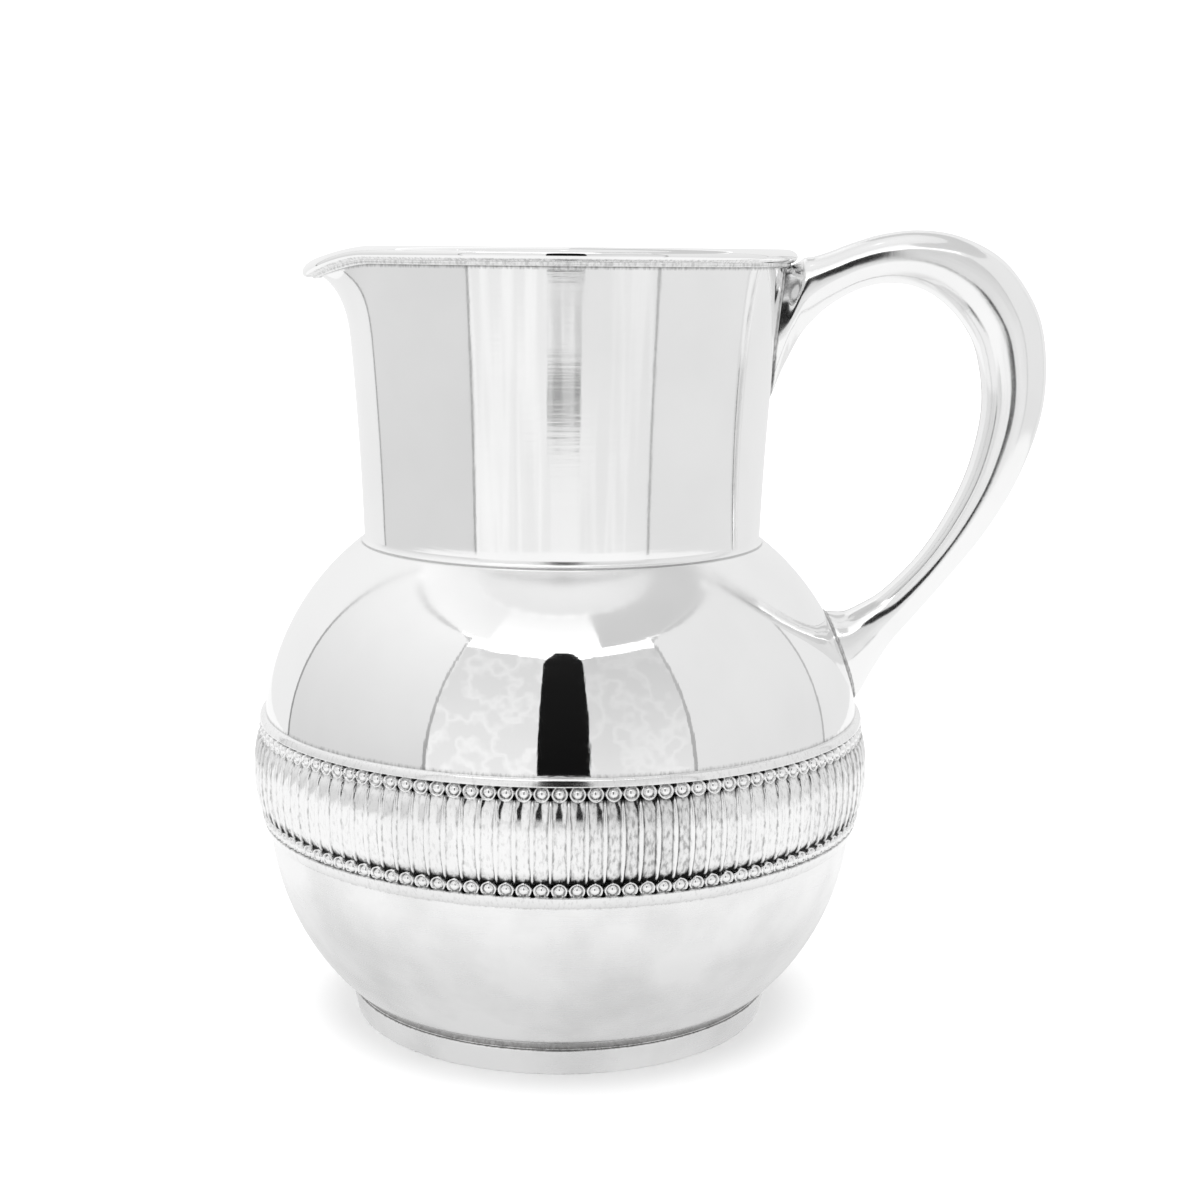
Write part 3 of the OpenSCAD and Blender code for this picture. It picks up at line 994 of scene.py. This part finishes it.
STATIONS = [
    Station(*row)
    for row in (
        (0.210, -0.150, 17.0, 85, 8.2, 0.80),
        (0.195, -0.075, 16.7, 82, 8.2, 0.80),
        (0.150, -0.005, 13.3, 82, 8.0, 0.70),
        (0.110, 0.055, 9.5, 89, 7.6, 0.50),
        (0.083, 0.130, 7.1, 99, 7.2, 0.25),
        (0.060, 0.220, 6.0, 108, 7.0, 0.05),
        (0.037, 0.335, 5.8, 109, 7.0),
        (0.020, 0.475, 6.2, 97, 7.2),
        (0.018, 0.620, 7.0, 83, 7.5),
        (0.036, 0.760, 8.0, 68, 7.8),
        (0.079, 0.890, 8.9, 48, 8.0),
        (0.145, 0.975, 9.0, 31, 8.2),
        (0.218, 1.013, 8.8, 17, 8.2),
        (0.328, 1.003, 8.1, 0, 8.0),
        (0.432, 0.945, 7.3, -12, 7.6),
        (0.556, 0.825, 6.3, -23, 6.9),
        (0.667, 0.673, 5.5, -31, 6.2),
        (0.769, 0.496, 4.9, -39, 5.6),
        (0.861, 0.305, 5.3, -45, 5.6),
        (0.913, 0.176, 6.5, -52, 6.4, 0, 0.10),
        (0.958, 0.076, 8.8, -63, 8.0, 0.05, 0.30),
        (0.990, -0.010, 12.0, -69, 9.3, 0.10, 0.45),
        (1.012, -0.085, 12.6, -71, 9.6, 0.10, 0.45),
    )
]


@dataclass
class Handle:
    """The hollow loop handle: two halves of thin sheet, and a plate under each root."""

    grip_reach: float = 53.0
    root_rise: float = 12.5
    wall: float = 0.9
    rows: int = 220
    section_steps: int = 40
    plate_t: float = 0.45
    plate_rim: float = 0.55
    root_sink: float = 0.4
    upper_root_end: int = 7
    lower_root_start: int = 17
    trim_steps: int = 1500
    crowding: float = 0.06

    def anchors(self) -> tuple[Grid, Grid]:
        """The two points that the handle runs between.

        Returns:
            The neck's top edge, and the middle of the lower root.
        """
        z = SHAPE.band[3] + self.root_rise
        cx, cz = SHAPE.shoulder_centre
        low = np.array([cx + math.sqrt(SHAPE.shoulder_arc**2 - (z - cz) ** 2), z])
        return np.array([SHAPE.neck_top_r, SHAPE.neck_top + SHAPE.rim_h]), low

    def stations(self, u: Grid) -> Grid:
        """Smoothly joined sections at places along the handle.

        Args:
            u: places, counted in stations.

        Returns:
            A row for each place.
        """
        table = np.array([astuple(s) for s in STATIONS])
        last = len(table) - 1
        i = np.clip(np.floor(u).astype(int), 0, last - 1)
        t = (u - i)[:, None]
        a, b = table[np.maximum(i - 1, 0)], table[i]
        c, d = table[i + 1], table[np.minimum(i + 2, last)]
        bend = (c - a) * t + (2 * a - 5 * b + 4 * c - d) * t * t
        return (2 * b + bend + (3 * b - a - 3 * c + d) * t**3) / 2

    def line(self, u: Grid, a: float, inset: float, side: int) -> Grid:
        """A line along the handle's surface.

        Args:
            u: places along the handle.
            a: the angle round its section, in degrees, from its outer edge.
            inset: how far inside the surface the line runs.
            side: -1 for the near half, 1 for the far one.

        Returns:
            The line's points.
        """
        s = self.stations(u)
        top, low = self.anchors()
        half_t, half_w = s[:, 2] - inset, s[:, 4] - inset
        cos_a, sin_a = math.cos(math.radians(a)), math.sin(math.radians(a))
        point = s[:, 5] if a > 90 else s[:, 6]
        along = half_t * cos_a
        y = side * np.maximum(half_w * sin_a * (1 - cos_a**2 * point), 0)
        turn = np.radians(s[:, 3])
        x = top[0] * (1 - s[:, 0]) + low[0] * s[:, 0] + self.grip_reach * s[:, 1] + along * np.cos(turn)
        z = top[1] * (1 - s[:, 0]) + low[1] * s[:, 0] + along * np.sin(turn)
        return np.stack([x, y, z], axis=1)

    def _trim(self, a: float, inset: float, side: int) -> Grid:
        """A line along the handle, ending just inside the silver that its roots meet.

        Args:
            a: the angle round its section.
            inset: how far inside the surface the line runs.
            side: which half it is on.

        Returns:
            The line's points, one for each row.
        """
        last = len(STATIONS) - 1
        u = np.linspace(0, last, self.trim_steps)
        points = self.line(u, a, inset, side)
        reach = np.hypot(points[:, 0], points[:, 1]) - SHAPE.outside_radius(points[:, 2])
        sunk = reach + self.root_sink < 0
        upper = np.nonzero(sunk & (u < self.upper_root_end))[0]
        lower = np.nonzero(sunk & (u > self.lower_root_start))[0]
        start = u[upper[-1]] if len(upper) else 0.0
        end = u[lower[0]] if len(lower) else float(last)
        t = np.linspace(0, 1, self.rows)
        spaced = t - self.crowding * np.sin(2 * math.pi * t) / math.pi
        return self.line(start + (end - start) * spaced, a, inset, side)

    def half(self, side: int) -> Object:
        """Builds one half.

        Args:
            side: -1 for the near half, 1 for the far one.

        Returns:
            The dressed half.
        """
        angles = np.linspace(0, 180, self.section_steps + 1)
        outer = [self._trim(a, 0.0, side) for a in angles]
        inner = [self._trim(a, self.wall, side) for a in angles[::-1]]
        grid = np.stack(outer + inner, axis=1)
        if side > 0:
            grid = grid[:, ::-1]
        reach = np.hypot(grid[:, :, 0], grid[:, :, 1]) - SHAPE.outside_radius(grid[:, :, 2])
        # painted shade where the roots meet the body
        tarnish_and_shade = (1 - smooth(reach, self.plate_t - 0.1, self.plate_t + 0.35)) * 0.9
        node = f"handle_{'near' if side < 0 else 'far'}_half"
        piece = Piece(f"{node}_silver", grid, closed_rows=False, tarnish_and_shade=tarnish_and_shade, haze=0.10, caps=True)
        return dress(piece, POLISHED, node)

    def plate(self, name: str, index: int, top: float) -> Object:
        """Builds the thin plate under a root.

        Args:
            name: which root it is for.
            index: the station whose section it follows.
            top: the highest that it goes.

        Returns:
            The dressed plate.
        """
        s = STATIONS[index]
        upper, lower = self.anchors()
        mid_z = upper[1] * (1 - s.drop) + lower[1] * s.drop
        a = np.radians(np.linspace(0, 360, 96, endpoint=False))
        point = np.where(np.cos(a) < 0, s.inner_point, s.outer_point)
        y = (s.half_w + self.plate_rim) * np.sin(a) * (1 - np.cos(a) ** 2 * point)
        up = (s.half_t + self.plate_rim) * np.cos(a) * math.sin(math.radians(s.angle))
        share = np.concatenate([np.linspace(0.05, 0.9, 8), [0.94, 0.97, 0.99, 1.0]])
        rows, dark = [], []
        face = [(k, self.plate_t * (1 - k**30) ** 0.5) for k in share]
        back = [(k, -0.3) for k in share[::-1]]
        for k, lift in face + back:
            z = np.minimum(mid_z + up * k, top)
            r = SHAPE.outside_radius(z) + lift
            rows.append(np.stack([np.sqrt(np.maximum(r**2 - (y * k) ** 2, 1)), y * k, z], axis=1))
            dark.append(np.full(len(a), 0.7 * float(smooth(k, 0.95, 1.0))))
        node = f"{name}_handle_patch"
        return dress(Piece(f"{node}_silver", np.stack(rows), tarnish_and_shade=np.stack(dark)), POLISHED, node)

    def build(self) -> list[Object]:
        """Builds both halves and both plates.

        Returns:
            The four dressed pieces.
        """
        return [
            self.half(-1),
            self.half(1),
            self.plate("upper", 1, SHAPE.neck_top - SHAPE.skirt_h),
            self.plate("lower", len(STATIONS) - 2, SHAPE.crease_z - 1),
        ]


# ---- the studio ----


def reflected_only(obj: Object) -> None:
    """Hides a piece from the camera, diffuse light, shadows and transmission, so that only the silver
    sees it.

    Args:
        obj: the piece.
    """
    for ray in ("camera", "diffuse", "shadow", "transmission"):
        setattr(obj, f"visible_{ray}", False)


@dataclass(frozen=True)
class Card:
    """One face of the light tent, seen only in the silver.

    Its sides are in degrees about a point over the foot's middle, and its sizes in metres.
    """

    name: str
    azimuth: tuple[float, float]
    elevation: tuple[float, float]
    glow: tuple[float, float]
    crumple: float = 0.0
    arch: float = 0.0
    distance: float = 0.6
    middle_z: float = 0.1
    fold_width: float = 0.09

    def build(self) -> None:
        """Makes the card as a curved sheet that gives light, seen only in the silver."""
        a = np.linspace(*self.azimuth, 25)
        t = np.linspace(0, 1, 17)[:, None]
        middle, half = sum(self.azimuth) / 2, (self.azimuth[1] - self.azimuth[0]) / 2
        top = self.elevation[1] - self.arch * np.abs((a - middle) / half) ** 4
        e = np.radians(self.elevation[0] + (top - self.elevation[0]) * t)
        turn = np.radians(a)[None, :] * np.ones_like(e)
        x, y = np.sin(turn) * np.cos(e), -np.cos(turn) * np.cos(e)
        middle_mm = [0, 0, self.middle_z / MM]
        grid = np.stack([x, y, np.sin(e)], axis=2) * self.distance / MM + middle_mm
        obj = Piece(self.name, grid, closed_rows=False, closed_columns=False).build()
        obj.data.materials.append(self._material())
        reflected_only(obj)

    def _material(self) -> Material:
        """The card's light, which changes from its bottom to its top.

        Returns:
            The material.
        """
        nodes = Nodes(self.name)
        parts = nodes.tree.nodes.new("ShaderNodeSeparateXYZ")
        nodes.put(nodes.place, parts.inputs[0])
        low, high = (self.middle_z + self.distance * math.sin(math.radians(e)) for e in self.elevation)
        value = nodes.spread(parts.outputs["Z"], (low, high), self.glow)
        if self.crumple:
            away = nodes.math("ABSOLUTE", nodes.math("SUBTRACT", nodes.noise(FOLDS), 0.5))
            crest = nodes.spread(away, (0.0, self.fold_width), (1 + self.crumple, 1 - self.crumple))
            value = nodes.math("MULTIPLY", value, crest)
        return nodes.glow(value)


CARDS = (
    Card("tent_front_left", (-46, -5), (-10, 46), (0.96, 0.83), 0.06, 1.0),
    Card("tent_front_right", (9, 48), (-10, 46), (0.91, 0.69), 0.045, 1.0),
    Card("tent_front_slit", (-7.0, 11.0), (-2.5, 48), (0.006, 0.012), 0.0, 5.0, 0.59),
    Card("tent_front_sill", (-9, 12), (-10, -2), (0.96, 0.90)),
    Card("tent_slit_foot", (-7, 10), (-6.1, -4.8), (0.36, 0.50), 0.3, 0.0, 0.59),
    Card("tent_slit_gap", (-7, 10), (-4.4, -3.4), (0.85, 0.72), 0.2, 0.0, 0.59),
    Card("tent_left", (-117, -46), (-10, 51), (0.72, 1.0), 0.0, 4.0),
    Card("tent_right", (48, 113), (-10, 51), (0.82, 0.88), 0.0, 4.0),
    Card("tent_back_left", (-180, -117), (-10, 50), (0.90, 0.98)),
    Card("tent_back_right", (113, 180), (-10, 50), (0.86, 0.92)),
    Card("tent_top_left", (-180, -38), (50, 66), (1.05, 0.92), 0.0, 0.0, 0.7),
    Card("tent_top_front", (-38, 22), (50, 66), (1.25, 1.0), 0.0, 0.0, 0.7),
    Card("tent_top_right", (22, 180), (50, 66), (0.66, 0.66), 0.0, 0.0, 0.7),
    Card("tent_roof", (-180, 180), (66, 89), (0.84, 0.92), 0.0, 0.0, 0.7),
    Card("seam_front_left", (-47.4, -46.2), (-10, 46), (0.34, 0.60), 0.0, 0.0, 0.58),
    Card("seam_front_right", (47.6, 49.0), (-10, 46), (0.42, 0.55), 0.0, 0.0, 0.58),
    Card("seam_back_left", (-117.6, -116.2), (-10, 50), (0.30, 0.62), 0.0, 0.0, 0.58),
    Card("seam_back_right", (111.4, 112.6), (-10, 50), (0.50, 0.62), 0.0, 0.0, 0.58),
    Card("seam_top_left", (-118, -46), (49, 50.6), (0.62, 0.70), 0.0, 4.0, 0.58),
    Card("seam_top_right", (48, 113), (49, 50.6), (0.60, 0.62), 0.0, 4.0, 0.58),
)


@dataclass(frozen=True)
class FloorGlow:
    """The lit floor as the silver sees it, dimmer in the pitcher's own shadow.

    The radii between which it brightens are in metres, and the sheet's own sizes in millimetres.
    """

    near_r: float = 0.05
    far_r: float = 0.15
    glow: tuple[float, float] = (0.76, 1.02)
    hole: float = 1.0
    reach: float = 640.0
    lift: float = 0.3
    turns: int = 64

    def build(self) -> None:
        """Makes the sheet, seen only in the silver."""
        profile = np.array([[self.hole, self.lift], [self.reach, self.lift]])
        obj = Piece("floor_glow", lathe(profile, self.turns), closed_rows=False).build()
        nodes = Nodes("floor_glow")
        far = nodes.tree.nodes.new("ShaderNodeVectorMath")
        far.operation = "LENGTH"
        nodes.put(nodes.place, far.inputs[0])
        span = (self.near_r, self.far_r)
        strength = nodes.spread(far.outputs["Value"], span, self.glow, soft=True)
        obj.data.materials.append(nodes.glow(strength))
        reflected_only(obj)


@dataclass
class Studio:
    """The floor, the light tent, the lamp over it and the camera.

    The camera's place is in millimetres, its tilts in radians, and its focal length in the units
    of the image's width.
    """

    camera_place: tuple[float, float, float] = (9.8974, -506.5413, 196.958)
    pitch: float = 0.1746
    roll: float = -0.0093
    focal: float = 1978.4742
    image: float = 1200.0
    sensor: float = 36.0
    surround: float = 1.45
    floor_reach: float = 6000.0
    floor_tone: float = 0.94
    lamp_energy: float = 0.85
    lamp_spread: float = 70.0
    lamp_turn: tuple[float, float, float] = (12.0, -8.0, 0.0)

    def floor(self) -> None:
        """Lays the pale floor, as part of the stage."""
        ends = (-self.floor_reach, self.floor_reach)
        corners = np.array([[[x, y, 0] for x in ends] for y in ends])
        obj = Piece("studio_floor", corners, closed_rows=False, closed_columns=False).build()
        nodes = Nodes("studio_floor")
        inputs = nodes.tree.nodes["Principled BSDF"].inputs
        inputs["Base Color"].default_value = (*(self.floor_tone,) * 3, 1)
        inputs["Roughness"].default_value = 0.9
        inputs["Specular IOR Level"].default_value = 0.1
        obj.data.materials.append(nodes.material)

    def light(self) -> None:
        """Sets the white surround and the soft lamp overhead."""
        world = bpy.data.worlds.new("white_surround")
        world.use_nodes = True
        sky = world.node_tree.nodes["Background"]
        sky.inputs["Color"].default_value = (1, 1, 1, 1)
        sky.inputs["Strength"].default_value = self.surround
        bpy.context.scene.world = world
        lamp = bpy.data.lights.new("soft_overhead", "SUN")
        lamp.energy = self.lamp_energy
        lamp.angle = math.radians(self.lamp_spread)
        obj = bpy.data.objects.new("soft_overhead", lamp)
        obj.rotation_euler = [math.radians(turn) for turn in self.lamp_turn]
        bpy.context.scene.collection.objects.link(obj)

    def camera(self) -> None:
        """Places the camera and makes it the scene's own."""
        data = bpy.data.cameras.new("studio_camera")
        data.sensor_width = self.sensor
        data.lens = self.focal / self.image * self.sensor
        data.clip_start, data.clip_end = 0.01, 50
        obj = bpy.data.objects.new("studio_camera", data)
        bpy.context.scene.collection.objects.link(obj)
        forward = Vector((0, math.cos(self.pitch), -math.sin(self.pitch)))
        level, upright = Vector((1, 0, 0)), Vector((0, math.sin(self.pitch), math.cos(self.pitch)))
        right = math.cos(self.roll) * level - math.sin(self.roll) * upright
        up = math.sin(self.roll) * level + math.cos(self.roll) * upright
        turn = Matrix((right, up, -forward)).transposed().to_4x4()
        obj.matrix_world = Matrix.Translation(Vector(self.camera_place) * MM) @ turn
        bpy.context.scene.camera = obj

    def build(self) -> None:
        """Sets up the whole studio."""
        self.floor()
        FloorGlow().build()
        for card in CARDS:
            card.build()
        self.light()
        self.camera()
        view = bpy.context.scene.view_settings
        view.view_transform = "Standard"
        view.look = "None"


def report(pieces: list[Object]) -> None:
    """Logs each piece that was built.

    Args:
        pieces: the pieces.
    """
    for obj in pieces:
        log.info("%s: %d faces", obj.name, len(obj.data.polygons))


def main() -> None:
    """Builds the pitcher from its foot to its handle, then the studio."""
    logging.basicConfig(level=logging.INFO, format="%(name)s: %(message)s")
    foot = Foot()
    report([foot.ring(), foot.collar()])
    body = Body()
    report([body.bowl(), body.shoulder()])
    neck = Neck()
    report([neck.sheet(), neck.rim()])
    report(Band().build())
    report(Handle().build())
    Studio().build()


if __name__ == "__main__":
    main()
